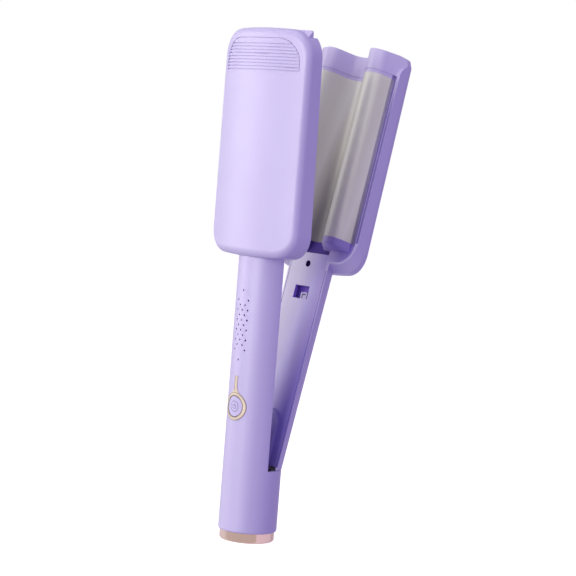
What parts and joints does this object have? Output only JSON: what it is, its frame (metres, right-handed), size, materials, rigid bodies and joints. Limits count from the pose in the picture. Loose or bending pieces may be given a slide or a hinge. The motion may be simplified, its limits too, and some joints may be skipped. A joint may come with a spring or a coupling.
{
  "type": "hair waver",
  "caption": "Two-arm hair waver with interlocking wave-shaped heating plates, a sprung rear arm, a round handle with a power button and a ring at its end.",
  "frame": {"origin": "on the handle axis at the lower end face, which is also the mouth of the cord outlet", "axes": "+Z along the handle axis toward the heads, -Y is the front with the power button, +X to the right seen from the front; the rear arm stands open"},
  "size_m": [0.076, 0.1018, 0.3115],
  "materials": {
    "lavender_shell": "soft satin lavender plastic",
    "lavender_inner": "satin lavender heat-resistant plastic",
    "plate_metal": "champagne-grey satin coated aluminium",
    "rose_gold": "polished rose-gold plating",
    "pale_gold": "satin pale-gold plating",
    "steel": "plain steel",
    "ceramic": "ceramic heater body",
    "glass_bead": "glass-coated sensor bead",
    "board": "glass-fibre circuit board",
    "black_plastic": "black moulded component body",
    "grey_plastic": "grey moulded nylon"
  },
  "bodies": {
    "front_arm": {"front_shell": "lavender_shell", "front_tip": "lavender_inner", "front_inner_cover": "lavender_inner", "front_guide_hook": "lavender_inner", "front_wave_plate": "plate_metal", "front_plate_frame": "lavender_inner", "front_heater": "ceramic", "front_heater_clip": "steel", "front_thermal_fuse": "steel", "front_thermistor": "glass_bead", "front_heat_shield": "plate_metal", "front_cover_screws": "steel", "button_bezel": "pale_gold", "control_board": "board", "tact_switch": "black_plastic", "power_triac": "black_plastic", "base_ring": "rose_gold", "swivel_retainer": "grey_plastic", "hinge_bracket": "steel", "hinge_pin": "steel", "hinge_spring": "steel"},
    "rear_arm": {"rear_shell": "lavender_shell", "rear_inner_cover": "lavender_inner", "rear_hinge_arm": "lavender_inner", "rear_window_keeper": "lavender_inner", "rear_wave_plate": "plate_metal", "rear_plate_frame": "lavender_inner", "rear_heater_left": "ceramic", "rear_heater_clip_left": "steel", "rear_heater_right": "ceramic", "rear_heater_clip_right": "steel", "rear_thermal_fuse": "steel", "rear_thermistor": "glass_bead", "rear_heat_shield": "plate_metal", "rear_cover_screw": "steel"},
    "button": {"power_button": "lavender_shell"},
    "swivel": {"cord_swivel": "grey_plastic"}
  },
  "joints": [
    {"name": "arm_hinge", "type": "hinge", "parent": "front_arm", "child": "rear_arm", "pos_m": [0, 0.0045, 0.0395], "axis": [1, 0, 0], "range_deg": [0, 13], "stiffness_Nm_per_rad": 1.2, "springref_deg": -22.92, "deforming": ["hinge_spring"]},
    {"name": "power_press", "type": "slide", "parent": "front_arm", "child": "button", "axis": [0, 1, 0], "range_m": [0, 0.0006], "stiffness_N_per_m": 2500, "springref_m": -0.0004},
    {"name": "cord_swivel_turn", "type": "hinge", "parent": "front_arm", "child": "swivel", "pos_m": [0, 0, 0.0085], "axis": [0, 0, 1], "continuous": true}
  ]
}
